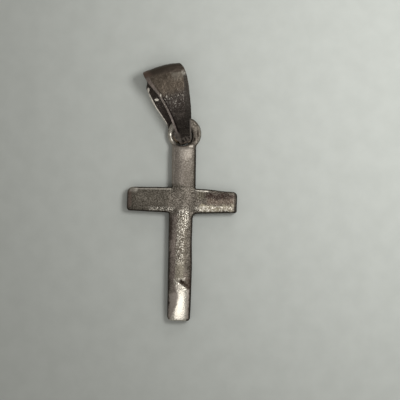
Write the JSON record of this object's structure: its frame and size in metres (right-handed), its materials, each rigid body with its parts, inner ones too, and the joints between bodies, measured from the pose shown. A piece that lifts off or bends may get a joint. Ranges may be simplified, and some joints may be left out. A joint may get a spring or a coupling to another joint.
{
  "type": "cross pendant",
  "caption": "Small cast silver cross with a crowned, grainy face and an eye at its head, lying on its flat back with its tapered folded bail turned to one side.",
  "frame": {"origin": "middle of the crossing of stem and arms, on the flat back of the cross", "axes": "+Y up the stem from the foot to the eye, +Z out of the face that shows, +X to the right as it is seen"},
  "size_m": [0.013, 0.0304, 0.004],
  "materials": {
    "cross_silver": "cast silver, grainy, tarnished brown-grey, worn bright on its high parts",
    "bail_silver": "rolled silver strip, blackened and brown with tarnish, edges rubbed bright"
  },
  "bodies": {
    "root": {"cross": "cross_silver", "bail": "bail_silver"}
  },
  "joints": []
}
